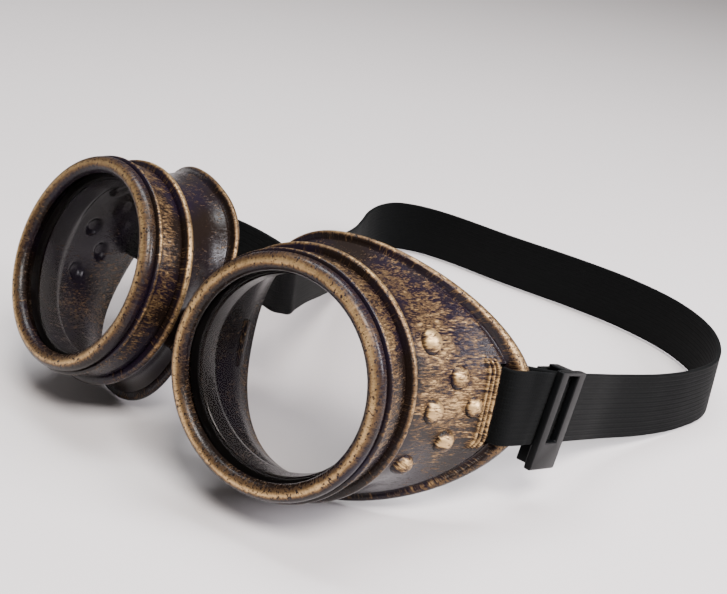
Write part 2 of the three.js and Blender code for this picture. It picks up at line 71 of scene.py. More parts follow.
def makeCamera():
    azimuth, elevation, roll = (math.radians(cameraSetup[k]) for k in ("azimuth", "elevation", "roll"))
    turn = (Matrix.Rotation(azimuth, 4, "Z") @ Matrix.Rotation(math.pi / 2 - elevation, 4, "X")
            @ Matrix.Rotation(roll, 4, "Z"))
    data = bpy.data.cameras.new("camera")
    data.lens, data.sensor_width = cameraSetup["lens"], 36.0
    data.clip_start, data.clip_end = 0.01, 50.0
    camera = bpy.data.objects.new("camera", data)
    camera.matrix_world = Matrix.Translation(cameraSetup["place"]) @ turn
    bpy.context.scene.collection.objects.link(camera)
    bpy.context.scene.camera = camera


def makeLights():
    for name, (place, aim, width, height, power, colour) in lightSetup.items():
        data = bpy.data.lights.new(name, "AREA")
        data.shape, data.size, data.size_y = "RECTANGLE", width, height
        data.energy, data.color = power, colour
        light = bpy.data.objects.new(name, data)
        light.location = place
        light.rotation_euler = (Vector(aim) - Vector(place)).to_track_quat("-Z", "Y").to_euler()
        bpy.context.scene.collection.objects.link(light)
    world = bpy.data.worlds.new("studio")
    world.use_nodes = True
    background = world.node_tree.nodes["Background"]
    background.inputs["Color"].default_value = (*worldLight["colour"], 1)
    background.inputs["Strength"].default_value = worldLight["strength"]
    bpy.context.scene.world = world


def startMaterial(name):
    material = bpy.data.materials.new(name)
    material.use_nodes = True
    tree = material.node_tree
    return material, tree, tree.nodes["Principled BSDF"]


def addNode(tree, kind, **settings):
    node = tree.nodes.new(kind)
    for key, value in settings.items():
        if key[0].isupper():
            node.inputs[key].default_value = value
        else:
            setattr(node, key, value)
    return node


def mathNode(tree, operation, first, second=None, clamp=False):
    node = tree.nodes.new("ShaderNodeMath")
    node.operation, node.use_clamp = operation, clamp
    for socket, value in zip(node.inputs, (first, second)):
        if isinstance(value, (int, float)):
            socket.default_value = value
        elif value is not None:
            tree.links.new(value, socket)
    return node.outputs[0]


def noise(tree, vector, scale, detail=4.0, roughness=0.6, distortion=0.0, stretch=(1, 1, 1)):
    mapping = addNode(tree, "ShaderNodeMapping", Scale=stretch)
    tree.links.new(vector, mapping.inputs["Vector"])
    node = addNode(tree, "ShaderNodeTexNoise", Scale=scale, Detail=detail, Roughness=roughness,
                   Distortion=distortion)
    tree.links.new(mapping.outputs[0], node.inputs["Vector"])
    return node.outputs["Fac"]


def ramp(tree, value, stops):
    node = tree.nodes.new("ShaderNodeValToRGB")
    elements = node.color_ramp.elements
    while len(elements) < len(stops):
        elements.new(0.5)
    for element, (place, colour) in zip(elements, stops):
        element.position = place
        element.color = (*colour, 1) if isinstance(colour, tuple) else (colour, colour, colour, 1)
    tree.links.new(value, node.inputs["Fac"])
    return node.outputs["Color"]


def attribute(tree, name, output="Fac"):
    return addNode(tree, "ShaderNodeAttribute", attribute_name=name).outputs[output]


def objectPlace(tree):
    return tree.nodes.new("ShaderNodeTexCoord").outputs["Object"]


def bumpInto(tree, shader, height, strength, distance):
    bump = addNode(tree, "ShaderNodeBump", Strength=strength, Distance=distance)
    tree.links.new(height, bump.inputs["Height"])
    tree.links.new(bump.outputs["Normal"], shader.inputs["Normal"])


brassFinish = {
    "plasticPurple": (0.0070, 0.0042, 0.0090),
    "plasticBrown": (0.0080, 0.0048, 0.0036),
    "wornBrown": (0.020, 0.010, 0.006),
    "bronze": (0.110, 0.064, 0.030),
    "gold": (0.560, 0.370, 0.175),
    "streakWidth": 2600.0,
    "streakLength": 0.30,
    "patchScale": 75.0,
    "pitScale": 1500.0,
    "glossyRoughness": 0.18,
    "brushedRoughness": 0.40,
}


# Dark glossy plastic with metal paint dragged over it. The mesh gives one value for how worn bright the paint
# is, lowered on the undersides as painted shade, and says which way the brush went (brushLine) and where the
# paint is pitted (pitted).
def brassPaint():
    finish = brassFinish
    material, tree, shader = startMaterial("dryBrushedBrass")
    place = objectPlace(tree)
    brush = attribute(tree, "brushLine", "Vector")
    streaks = noise(tree, brush, finish["streakWidth"], 5, 0.68, 0.4, (1, 1, finish["streakLength"]))
    wideStreaks = noise(tree, brush, finish["streakWidth"] * 0.33, 3, 0.6, 0.3,
                        (1, 1, finish["streakLength"] * 1.2))
    patches = noise(tree, place, finish["patchScale"], 4, 0.6)
    specks = noise(tree, place, finish["pitScale"], 3, 0.6)
    pitted = attribute(tree, "pitted")
    calm = mathNode(tree, "SUBTRACT", 1.0, mathNode(tree, "MULTIPLY", pitted, 0.8))
    streakPart = mathNode(tree, "MULTIPLY", mathNode(tree, "SUBTRACT", streaks, 0.5), 3.0)
    widePart = mathNode(tree, "MULTIPLY", mathNode(tree, "SUBTRACT", wideStreaks, 0.5), 1.5)
    even = mathNode(tree, "SUBTRACT", 1.5, mathNode(tree, "MULTIPLY", pitted, 0.9))
    patchPart = mathNode(tree, "MULTIPLY", mathNode(tree, "SUBTRACT", patches, 0.5), even)
    pits = mathNode(tree, "MULTIPLY", mathNode(tree, "SUBTRACT", specks, 0.56), 9.0, True)
    pitPart = mathNode(tree, "MULTIPLY", pits, pitted)
    strokes = mathNode(tree, "MULTIPLY", mathNode(tree, "ADD", streakPart, widePart), calm)
    # this value is real paint wear with painted shade on the undersides
    paint = mathNode(tree, "ADD", attribute(tree, "wearAndShade"), strokes)
    paint = mathNode(tree, "ADD", paint, patchPart)
    paint = mathNode(tree, "SUBTRACT", paint, pitPart, True)
    hue = noise(tree, place, finish["patchScale"] * 0.6, 2, 0.5)
    under = addNode(tree, "ShaderNodeMix", data_type="RGBA")
    tree.links.new(ramp(tree, hue, [(0.42, 0.0), (0.58, 1.0)]), under.inputs["Factor"])
    under.inputs["A"].default_value = (*finish["plasticBrown"], 1)
    under.inputs["B"].default_value = (*finish["plasticPurple"], 1)
    painted = ramp(tree, paint,
                   [(0.25, finish["wornBrown"]), (0.62, finish["bronze"]), (1.0, finish["gold"])])
    whole = addNode(tree, "ShaderNodeMix", data_type="RGBA")
    tree.links.new(ramp(tree, paint, [(0.20, 0.0), (0.52, 1.0)]), whole.inputs["Factor"])
    tree.links.new(under.outputs["Result"], whole.inputs["A"])
    tree.links.new(painted, whole.inputs["B"])
    tree.links.new(whole.outputs["Result"], shader.inputs["Base Color"])
    tree.links.new(ramp(tree, paint, [(0.32, 0.0), (0.72, 0.85)]), shader.inputs["Metallic"])
    roughness = ramp(tree, paint, [(0.25, finish["glossyRoughness"]), (0.60, finish["brushedRoughness"])])
    tree.links.new(mathNode(tree, "ADD", roughness, mathNode(tree, "MULTIPLY", specks, 0.08)),
                   shader.inputs["Roughness"])
    raised = mathNode(tree, "ADD", paint, mathNode(tree, "MULTIPLY", patches, 0.25))
    height = mathNode(tree, "SUBTRACT", raised, mathNode(tree, "MULTIPLY", pitPart, 0.6))
    shader.inputs["Specular IOR Level"].default_value = 0.20
    bumpInto(tree, shader, height, 0.40, 0.00012)
    return material


lensFinish = {"tint": (0.80, 0.79, 0.785), "straightGloss": 0.006, "edgeGloss": 0.45}


# Clear plastic: what is behind shows straight through, with a gloss that grows towards the edge.
def clearLens():
    material, tree, shader = startMaterial("clearLens")
    tree.nodes.remove(shader)
    through = addNode(tree, "ShaderNodeBsdfTransparent", Color=(*lensFinish["tint"], 1))
    smudges = noise(tree, objectPlace(tree), 130.0, 3, 0.5)
    gloss = addNode(tree, "ShaderNodeBsdfGlossy", Color=(1, 1, 1, 1))
    tree.links.new(mathNode(tree, "ADD", mathNode(tree, "MULTIPLY", smudges, 0.05), 0.01),
                   gloss.inputs["Roughness"])
    facing = addNode(tree, "ShaderNodeLayerWeight", Blend=0.5).outputs["Facing"]
    edge = mathNode(tree, "MULTIPLY", mathNode(tree, "POWER", facing, 5.0), lensFinish["edgeGloss"])
    share = mathNode(tree, "ADD", edge, lensFinish["straightGloss"])
    mix = tree.nodes.new("ShaderNodeMixShader")
    tree.links.new(share, mix.inputs[0])
    tree.links.new(through.outputs[0], mix.inputs[1])
    tree.links.new(gloss.outputs[0], mix.inputs[2])
    tree.links.new(mix.outputs[0], tree.nodes["Material Output"].inputs["Surface"])
    return material


elasticFinish = {
    "thread": (0.0013, 0.0016, 0.0017),
    "gap": (0.0008, 0.0010, 0.0011),
    "ribs": 26.0,
    "picksPerMetre": 1600.0,
    "roughness": 0.80,
}


# Woven black elastic. The strap's own map runs along it in metres and across it from 0 to 1.
def wovenElastic():
    finish = elasticFinish
    material, tree, shader = startMaterial("wovenElastic")
    map_ = addNode(tree, "ShaderNodeUVMap", uv_map="strapMap")
    parts = tree.nodes.new("ShaderNodeSeparateXYZ")
    tree.links.new(map_.outputs[0], parts.inputs[0])
    along = mathNode(tree, "MULTIPLY", parts.outputs["X"], finish["picksPerMetre"] * math.tau)
    across = mathNode(tree, "MULTIPLY", parts.outputs["Y"], finish["ribs"] * math.tau)
    rib = mathNode(tree, "SINE", across)
    pick = mathNode(tree, "SINE", mathNode(tree, "ADD", along, mathNode(tree, "MULTIPLY", rib, math.pi / 2)))
    weave = mathNode(tree, "ADD", mathNode(tree, "MULTIPLY", rib, 0.35),
                     mathNode(tree, "MULTIPLY", pick, 0.3))
    fuzz = noise(tree, objectPlace(tree), 900.0, 3, 0.6)
    height = mathNode(tree, "ADD", mathNode(tree, "ADD", weave, 0.5), mathNode(tree, "MULTIPLY", fuzz, 0.35))
    tree.links.new(ramp(tree, height, [(0.25, finish["gap"]), (0.85, finish["thread"])]),
                   shader.inputs["Base Color"])
    tree.links.new(mathNode(tree, "ADD", mathNode(tree, "MULTIPLY", fuzz, 0.15), finish["roughness"] - 0.07),
                   shader.inputs["Roughness"])
    shader.inputs["Sheen Weight"].default_value = 0.02
    shader.inputs["Sheen Roughness"].default_value = 0.5
    shader.inputs["Specular IOR Level"].default_value = 0.07
    bumpInto(tree, shader, height, 0.6, 0.00012)
    return material


# Moulded black plastic, with a fine grain and faint mottling.
def mouldedPlastic(name, colour, roughness, grain):
    material, tree, shader = startMaterial(name)
    place = objectPlace(tree)
    fine = noise(tree, place, 2600.0, 2, 0.5)
    broad = noise(tree, place, 160.0, 3, 0.6)
    light = tuple(1.7 * part + 0.0006 for part in colour)
    tree.links.new(ramp(tree, broad, [(0.35, colour), (0.75, light)]), shader.inputs["Base Color"])
    tree.links.new(mathNode(tree, "ADD", mathNode(tree, "MULTIPLY", broad, 0.14), roughness - 0.07),
                   shader.inputs["Roughness"])
    shader.inputs["Specular IOR Level"].default_value = 0.12
    bumpInto(tree, shader, fine, grain, 0.00005)
    return material


def dullBrass():
    material, tree, shader = startMaterial("dullBrass")
    place = objectPlace(tree)
    tarnish = noise(tree, place, 420.0, 4, 0.65)
    tree.links.new(ramp(tree, tarnish, [(0.35, (0.10, 0.062, 0.03)), (0.70, (0.42, 0.29, 0.13))]),
                   shader.inputs["Base Color"])
    shader.inputs["Metallic"].default_value = 0.9
    tree.links.new(ramp(tree, tarnish, [(0.3, 0.55), (0.8, 0.33)]), shader.inputs["Roughness"])
    bumpInto(tree, shader, tarnish, 0.2, 0.00005)
    return material


def floorPaint():
    material, tree, shader = startMaterial("palePaper")
    faint = noise(tree, objectPlace(tree), 3.0, 2, 0.5)
    base = floorSetup["colour"]
    tree.links.new(ramp(tree, faint, [(0.3, tuple(0.985 * part for part in base)), (0.7, base)]),
                   shader.inputs["Base Color"])
    shader.inputs["Roughness"].default_value = floorSetup["roughness"]
    shader.inputs["Specular IOR Level"].default_value = 0.2
    return material


def deselectAll():
    if bpy.context.object and bpy.context.object.mode != "OBJECT":
        bpy.ops.object.mode_set(mode="OBJECT")
    bpy.ops.object.select_all(action="DESELECT")


def useOnly(piece):
    deselectAll()
    piece.select_set(True)
    bpy.context.view_layer.objects.active = piece


def named(name):
    piece = bpy.context.object
    piece.name = piece.data.name = name
    return piece


def setPlaces(piece, places):
    piece.data.vertices.foreach_set("co", np.asarray(places, np.float32).ravel())
    piece.data.update()


def getPlaces(piece):
    places = np.zeros(len(piece.data.vertices) * 3, np.float32)
    piece.data.vertices.foreach_get("co", places)
    return places.reshape(-1, 3).astype(float)


def setNumber(piece, name, values):
    data = piece.data.attributes.get(name) or piece.data.attributes.new(name, "FLOAT", "POINT")
    data.data.foreach_set("value", np.broadcast_to(values, len(piece.data.vertices)).astype(np.float32))


def setDirection(piece, name, values):
    data = piece.data.attributes.get(name) or piece.data.attributes.new(name, "FLOAT_VECTOR", "POINT")
    data.data.foreach_set("vector", np.asarray(values, np.float32).ravel())


def mergeAndTurnOut(piece, distance=2e-6):
    useOnly(piece)
    bpy.ops.object.mode_set(mode="EDIT")
    bpy.ops.mesh.select_all(action="SELECT")
    bpy.ops.mesh.remove_doubles(threshold=distance)
    bpy.ops.mesh.normals_make_consistent(inside=False)
    bpy.ops.object.mode_set(mode="OBJECT")


def fillEnds(piece):
    useOnly(piece)
    bpy.ops.object.mode_set(mode="EDIT")
    bpy.ops.mesh.select_mode(type="EDGE")
    bpy.ops.mesh.select_all(action="DESELECT")
    bpy.ops.mesh.select_non_manifold()
    bpy.ops.mesh.edge_face_add()
    bpy.ops.mesh.select_all(action="SELECT")
    bpy.ops.mesh.normals_make_consistent(inside=False)
    bpy.ops.mesh.select_mode(type="VERT")
    bpy.ops.object.mode_set(mode="OBJECT")


# A grid whose rows are laid over the given rings, rings[row][column] = (x, y, z).
def gridOver(name, rings):
    rows, columns = rings.shape[:2]
    deselectAll()
    bpy.ops.mesh.primitive_grid_add(x_subdivisions=columns - 1, y_subdivisions=rows - 1, size=1)
    piece = named(name)
    flat = getPlaces(piece)
    order = np.lexsort((flat[:, 0].round(6), flat[:, 1].round(6)))
    places = np.zeros((rows * columns, 3))
    places[order] = rings.reshape(-1, 3)
    setPlaces(piece, places)
    return piece, order


def smooth(piece, degrees=40):
    useOnly(piece)
    bpy.ops.object.shade_smooth_by_angle(angle=math.radians(degrees))


# Turns a closed outline of (radius, depth) points round the depth axis.
def spun(name, outline, steps):
    deselectAll()
    bpy.ops.mesh.primitive_circle_add(vertices=len(outline), radius=0.01)
    piece = named(name)
    setPlaces(piece, [(radius, depth, 0) for radius, depth in outline])
    bpy.ops.object.mode_set(mode="EDIT")
    bpy.ops.mesh.select_all(action="SELECT")
    bpy.ops.mesh.spin(steps=steps, angle=math.tau, center=(0, 0, 0), axis=(0, 1, 0))
    bpy.ops.object.mode_set(mode="OBJECT")
    mergeAndTurnOut(piece)
    return piece


def arc(radius, depth, size, start, end, steps, squeeze=1.0):
    angles = [math.radians(start + (end - start) * i / steps) for i in range(steps + 1)]
    return [(radius + size * math.cos(a), depth - squeeze * size * math.sin(a)) for a in angles]


def joined(pieces, name):
    useOnly(pieces[0])
    for other in pieces[1:]:
        other.select_set(True)
    bpy.ops.object.join()
    return named(name)


def bevelAll(piece, width, segments=3):
    useOnly(piece)
    modifier = piece.modifiers.new("rounding", "BEVEL")
    modifier.width, modifier.segments, modifier.limit_method = width, segments, "ANGLE"
    modifier.angle_limit = math.radians(35)
    bpy.ops.object.modifier_apply(modifier=modifier.name)


def block(name, low, high, rounding):
    deselectAll()
    middle = [(a + b) / 2 for a, b in zip(low, high)]
    bpy.ops.mesh.primitive_cube_add(size=1, location=middle)
    piece = named(name)
    bpy.ops.object.mode_set(mode="EDIT")
    bpy.ops.transform.resize(value=[b - a for a, b in zip(low, high)])
    bpy.ops.object.mode_set(mode="OBJECT")
    useOnly(piece)
    bpy.ops.object.transform_apply(location=True, rotation=True, scale=True)
    bevelAll(piece, rounding)
    return piece


# Painted shade: the worn value is lowered on downward-facing surfaces, so the undersides read darker.
def paintedShadeBelow(piece, amount):
    normals = np.zeros(len(piece.data.vertices) * 3, np.float32)
    piece.data.vertices.foreach_get("normal", normals)
    wearAndShade = np.zeros(len(piece.data.vertices), np.float32)
    piece.data.attributes["wearAndShade"].data.foreach_get("value", wearAndShade)
    setNumber(piece, "wearAndShade", wearAndShade - amount * smoothStep(-normals[2::3], -0.25, 0.65))


def dress(piece, material, slotName, *nodes):
    piece.data.materials.clear()
    piece.data.materials.append(material)
    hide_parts(*nodes)


cupPose = {
    "left": {"side": 1, "yaw": 9.8, "pitch": -13.2, "twist": -3.0},
    "right": {"side": -1, "yaw": -6.4, "pitch": -21.9, "twist": 12.8},
}
cupSize = {
    "bodyRadius": 30.2, "bodyStart": 14.9, "rimHeight": 33.8, "rimNose": 26.1, "rimWing": 46.1,
    "wingFlat": 43.8, "waist": 1.1, "wall": 2.3,
    "neckBore": 24.6, "neckRadius": 27.6, "neckDepth": 6.9, "flangeDepth": 12.5, "flangeRadius": 32.3,
    "flangeHeight": 0.95, "columns": 288,
    "slotFrom": 0.75, "slotTo": 0.86, "slotOpenFrom": 0.775, "slotHalfColumns": 16,
    "channelDepth": 0.75, "channelAt": 0.838, "channelWidth": 0.024,
    "beadAt": 0.936, "beadHalf": 0.064, "beadHeight": 1.3,
}


def cupMatrix(name):
    pose = cupPose[name]
    yaw, pitch, twist = (math.radians(pose[k]) for k in ("yaw", "pitch", "twist"))
    return (Matrix.Translation(joints[name + "_ring_unscrew"]["pos_m"]) @ Matrix.Rotation(yaw, 4, "Z")
            @ Matrix.Rotation(pitch, 4, "X") @ Matrix.Rotation(twist, 4, "Y"))


def power(value, exponent):
    return np.sign(value) * np.abs(value) ** exponent


# A point of a cup's outer skin in millimetres, in the cup's own axes. Angle 0 is the wing.
def skin(angle, along, side, inset=0.0):
    size = cupSize
    angle, along = np.broadcast_arrays(np.asarray(angle, float), np.asarray(along, float))
    c, s = np.cos(angle), np.sin(angle)
    wingX = np.minimum(size["rimWing"] * power(np.maximum(c, 0), 1.13), size["wingFlat"])
    rimX = np.where(c > 0, wingX, size["rimNose"] * power(c, 0.75))
    rimZ = size["rimHeight"] * np.where(c > 0, power(s, 1.04), power(s, 0.75))
    u = rimX / size["rimHeight"]
    rimY = 23.7 + 4.8 * u + 13.4 * u * u + 7.4 * (rimZ / size["rimHeight"]) ** 2
    start = np.stack([size["bodyRadius"] * c, np.full_like(c, size["bodyStart"]), size["bodyRadius"] * s], -1)
    place = start + (np.stack([rimX, rimY, rimZ], -1) - start) * along[..., None]
    outward = place * [1, 0, 1]
    outward /= np.linalg.norm(outward, axis=-1, keepdims=True)
    inward = inset + size["waist"] * np.sin(np.pi * along) ** 2
    place = place - outward * inward[..., None]
    return place * [side, 1, 1]


def skinNormal(angle, along, side):
    d = 0.01
    around = skin(angle + d, along, side) - skin(angle - d, along, side)
    back = skin(angle, along + d, side) - skin(angle, along - d, side)
    normal = np.cross(around, back) * -side
    return normal / np.linalg.norm(normal, axis=-1, keepdims=True)


def smoothStep(value, low, high):
    t = np.clip((value - low) / (high - low), 0, 1)
    return t * t * (3 - 2 * t)


domes = [  # along the wing, angle, radius in millimetres
    (0.23, 30, 3.5), (0.23, -2.5, 3.3), (0.23, -32, 3.3),
    (0.425, 13.5, 3.3), (0.43, -18.5, 3.3), (0.6, -1, 3.0),
]
domeSunk = 0.95  # how far a dome's centre lies under the skin
brushRadius = 0.032  # the round that brush strokes are laid out on
slotRidges = {"at": (0.668, 0.704, 0.742), "width": 0.0115, "height": 1.0, "reach": 11.0}


# How far the outer skin stands out: the rim's bead, the channel before it and the slot's ridges.
def skinRelief(angle, along, height):
    size = cupSize
    bead = size["beadHeight"] * np.sqrt(np.clip(1 - ((along - size["beadAt"]) / size["beadHalf"]) ** 2, 0, 1))
    channel = size["channelDepth"] * np.exp(-((along - size["channelAt"]) / size["channelWidth"]) ** 2)
    nearWing = 1 - smoothStep(np.abs(height), slotRidges["reach"], slotRidges["reach"] + 1.2)
    nearWing = nearWing * (np.cos(angle) > 0)
    ridges = sum(np.exp(-((along - at) / slotRidges["width"]) ** 2) for at in slotRidges["at"])
    return bead - channel + slotRidges["height"] * nearWing * ridges


# Dimples inside the wing, behind the domes.
def innerRelief(places, side):
    relief = np.zeros(places.shape[:-1])
    for along, degrees, radius in domes:
        centre = skin(math.radians(degrees), along, side, cupSize["wall"])
        distance = np.linalg.norm(places - centre, axis=-1)
        relief = relief + 1.15 * (1 - smoothStep(distance, radius * 0.45, radius * 1.05))
    return relief


def eyecupShell(name, side):
    size = cupSize
    angles = np.pi + np.linspace(0, math.tau, size["columns"] + 1)
    outer = np.concatenate([
        np.linspace(0, 0.64, 30), np.linspace(0.652, 0.775, 31), np.linspace(0.787, 0.86, 9),
        size["beadAt"] - size["beadHalf"] * np.cos(np.linspace(0.0, math.pi, 19))[1:]])
    inner = np.concatenate([[0.992, 0.985, 0.97, 0.92, 0.86], np.linspace(0.775, 0.04, 35)])
    rings, wearAndShade, pitted, length = [], [], [], []

    def addRing(places, wornHere, pittedHere, lengthHere):
        rings.append(places)
        wearAndShade.append(np.broadcast_to(wornHere, len(angles)))
        pitted.append(np.broadcast_to(pittedHere, len(angles)))
        length.append(lengthHere)

    def addCircle(radius, depth, wornHere, pittedHere=0.3):
        circle = [side * radius * np.cos(angles), np.full_like(angles, depth), radius * np.sin(angles)]
        addRing(np.stack(circle, -1), wornHere, pittedHere, depth)

    temple = np.clip(np.cos(angles), 0, 1)
    bore, neck, neckEnd = size["neckBore"], size["neckRadius"], size["neckDepth"]
    addCircle(bore, neckEnd + 0.2, -0.1)
    addCircle(bore + 0.2, neckEnd, -0.1)
    addCircle(neck - 0.3, neckEnd, -0.1)
    addCircle(neck, neckEnd + 0.3, -0.1)
    for depth in np.linspace(8, size["flangeDepth"], 6):
        addCircle(size["neckRadius"], depth, -0.1)
    crest = size["flangeRadius"] - size["flangeHeight"]
    addCircle(crest - 0.8, size["flangeDepth"], 0.1)
    for step in range(13):
        turn = math.radians(-90 + 15 * step)
        addCircle(crest + size["flangeHeight"] * math.cos(turn), 13.6 + 1.1 * math.sin(turn),
                  0.12 + 0.72 * max(0.0, math.cos(turn)), 0.85)
    bodyWorn = 0.04 + 0.56 * temple ** 0.8
    for along in outer:
        flat = skin(angles, along, side)
        relief = skinRelief(angles, np.full_like(angles, along), flat[:, 2])
        places = flat + skinNormal(angles, np.full_like(angles, along), side) * relief[:, None]
        here = bodyWorn * smoothStep(along, -0.02, 0.14 + 0.14 * (1 - temple)) - 0.02
        here = here - 0.22 * temple * smoothStep(along, 0.45, 0.80)
        here = here + (0.42 * (temple > 0.9) * smoothStep(relief, 0.3, 0.9) if along < 0.75 else 0)
        inChannel = math.exp(-((along - size["channelAt"]) / 0.030) ** 2)
        here = here * (1 - 0.9 * inChannel)
        onBead = smoothStep(along, 0.87, 0.90)
        onCrest = onBead * np.clip(relief / size["beadHeight"], 0, 1) ** 2
        here = here * (1 - onBead) + 0.16 * onBead + (0.52 + 0.10 * temple) * onCrest
        addRing(places, here, 0.15 + 0.70 * onBead, 15 + 24 * along)
    for along in inner:
        inset = size["wall"] * smoothStep(1 - along, 0.0, 0.02)
        flat = skin(angles, along, side, inset)
        if along < 0.7:
            relief = innerRelief(flat, side)
            flat = flat + skinNormal(angles, np.full_like(angles, along), side) * relief[:, None]
        else:
            relief = np.zeros_like(angles)
        here = 0.12 + 0.24 * smoothStep(along, 0.55, 0.95) + 0.08 * temple - 0.25 * relief
        addRing(flat, here, 0.3, 41 + 24 * (1 - along))
    addCircle(bore + 0.5, size["flangeDepth"] + 1, 0.1)
    addCircle(bore, size["flangeDepth"] - 0.5, 0.1)
    addCircle(bore, neckEnd + 0.2, -0.1)
    rings = np.array(rings)
    piece, order = gridOver(name, rings * mm)
    brush = np.zeros((len(rings), len(angles), 3))
    brush[..., 0], brush[..., 1] = brushRadius * np.cos(angles), brushRadius * np.sin(angles)
    brush[..., 2] = np.array(length)[:, None] * mm
    laid = np.zeros((rings.shape[0] * rings.shape[1], 3))
    laid[order] = brush.reshape(-1, 3)
    setDirection(piece, "brushLine", laid)
    for key, rows in (("wearAndShade", wearAndShade), ("pitted", pitted)):
        values = np.zeros(len(laid))
        values[order] = np.array(rows).ravel()
        setNumber(piece, key, values)
    cutSlot(piece, rings, angles, outer, inner, order)
    mergeAndTurnOut(piece)
    return piece


def selectFaces(piece, marked):
    useOnly(piece)
    bpy.ops.object.mode_set(mode="EDIT")
    bpy.ops.mesh.select_mode(type="FACE")
    bpy.ops.mesh.select_all(action="DESELECT")
    bpy.ops.object.mode_set(mode="OBJECT")
    for face in piece.data.polygons:
        face.select = all(marked[v] for v in face.vertices)
    bpy.ops.object.mode_set(mode="EDIT")


# Takes the same rectangle of faces out of the outer and inner skins and bridges the two holes.
def cutSlot(piece, rings, angles, outer, inner, order):
    size = cupSize
    firstOuter = len(rings) - 3 - len(inner) - len(outer)
    alongOfRow = np.full(rings.shape[0], -1.0)
    alongOfRow[firstOuter:firstOuter + len(outer)] = outer
    alongOfRow[firstOuter + len(outer):-3] = inner
    inSlotRow = (alongOfRow > size["slotOpenFrom"] - 1e-6) & (alongOfRow < size["slotTo"] + 1e-6)
    middle = size["columns"] // 2
    columns = np.abs(np.arange(len(angles)) - middle) <= size["slotHalfColumns"]
    marked = np.zeros(len(order), bool)
    marked[order] = (inSlotRow[:, None] & columns[None, :]).ravel()
    selectFaces(piece, marked)
    bpy.ops.mesh.region_to_loop()
    bpy.ops.object.mode_set(mode="OBJECT")
    wanted = {tuple(sorted(edge.vertices)) for edge in piece.data.edges if edge.select}
    selectFaces(piece, marked)
    bpy.ops.mesh.delete(type="ONLY_FACE")
    bpy.ops.mesh.select_mode(type="EDGE")
    bpy.ops.mesh.select_all(action="DESELECT")
    bpy.ops.object.mode_set(mode="OBJECT")
    for edge in piece.data.edges:
        edge.select = tuple(sorted(edge.vertices)) in wanted
    bpy.ops.object.mode_set(mode="EDIT")
    bpy.ops.mesh.select_mode(type="EDGE")
    bpy.ops.mesh.bridge_edge_loops()
    bpy.ops.mesh.select_mode(type="VERT")
    bpy.ops.mesh.delete_loose()
    bpy.ops.object.mode_set(mode="OBJECT")


def domeCap(side, along, degrees, radius):
    angle = math.radians(degrees)
    centre = Vector(skin(angle, along, side))
    normal = Vector(skinNormal(angle, along, side))
    deselectAll()
    bpy.ops.mesh.primitive_uv_sphere_add(segments=40, ring_count=24, radius=radius * mm)
    piece = named("dome")
    bpy.ops.object.mode_set(mode="EDIT")
    bpy.ops.mesh.select_all(action="SELECT")
    bpy.ops.mesh.bisect(plane_co=(0, 0, (domeSunk - 0.9) * mm), plane_no=(0, 0, 1), use_fill=True,
                        clear_inner=True)
    bpy.ops.object.mode_set(mode="OBJECT")
    height = getPlaces(piece)[:, 2] / mm
    setNumber(piece, "wearAndShade", 0.25 + 0.62 * smoothStep(height, domeSunk, domeSunk + 1.4))
    setNumber(piece, "pitted", 0.15)
    turn = normal.to_track_quat("Z", "Y").to_matrix().to_4x4()
    piece.data.transform(Matrix.Translation((centre - normal * domeSunk) * mm) @ turn)
    places = getPlaces(piece)
    angles = np.arctan2(places[:, 2], side * places[:, 0])
    brush = [brushRadius * np.cos(angles), brushRadius * np.sin(angles), places[:, 1]]
    setDirection(piece, "brushLine", np.stack(brush, -1))
    return piece


threadSize = {"pitch": 3.0, "height": 0.8, "stepsPerTurn": 72}


def threadRidge(name, root, crest, depth, turns):
    size = threadSize
    count = round(turns * size["stepsPerTurn"])
    sunk = -0.4 if crest > root else 0.4
    rings = []
    for i in range(count + 1):
        turn = turns * i / count
        taper = min(1.0, 8 * min(i, count - i) / count + 0.1)
        top = root + (crest - root) * taper
        at = depth - size["pitch"] * turn
        outline = [(root + sunk, -0.72), (top, -0.30), (top, 0.30), (root + sunk, 0.72), (root + sunk, -0.72)]
        rings.append([(r * math.cos(math.tau * turn), at + d, r * math.sin(math.tau * turn))
                      for r, d in outline])
    piece, _ = gridOver(name, np.array(rings) * mm)
    mergeAndTurnOut(piece)
    fillEnds(piece)
    setNumber(piece, "wearAndShade", 0.0)
    setNumber(piece, "pitted", 0.0)
    setDirection(piece, "brushLine", getPlaces(piece))
    return piece


lugSize = {"length": 5.6, "thickness": 2.2, "height": 13.0, "depth": 23.5}


def noseLug(side):
    inner = -side * (cupSize["rimNose"] - 2.6)
    outer = -side * (cupSize["rimNose"] + 1.2 + lugSize["length"] + 1.0)
    half, tall = lugSize["thickness"] / 2, lugSize["height"] / 2
    low = Vector((min(inner, outer), lugSize["depth"] - half, -tall)) * mm
    high = Vector((max(inner, outer), lugSize["depth"] + half, tall)) * mm
    piece = block("lug", low, high, 0.6 * mm)
    setNumber(piece, "wearAndShade", 0.35)
    setNumber(piece, "pitted", 0.2)
    setDirection(piece, "brushLine", getPlaces(piece))
    return piece


def makeEyecup(name, material):
    side = cupPose[name]["side"]
    pieces = [eyecupShell(name + "Shell", side)]
    pieces += [domeCap(side, *dome) for dome in domes]
    pieces.append(noseLug(side))
    root = cupSize["neckRadius"]
    pieces.append(threadRidge("neckThread", root, root + threadSize["height"], 11.0, 1.1))
    cup = joined(pieces, name + "Eyecup")
    smooth(cup, 38)
    cup.data.transform(cupMatrix(name))
    # painted shade: the cup's undersides are darkened
    paintedShadeBelow(cup, 0.50)
    dress(cup, material, "cup_shell", name + "_eyecup")
    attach(cup, name + "_cup")


ringSize = {
    "aperture": 25.5, "beadOuter": 30.1, "band": 30.3, "depth": 12.2, "lensSeat": 2.6, "lensBore": 27.8,
    "threadBore": 28.7, "secondBeadAt": 4.35, "secondBead": 0.72, "steps": 192,
}


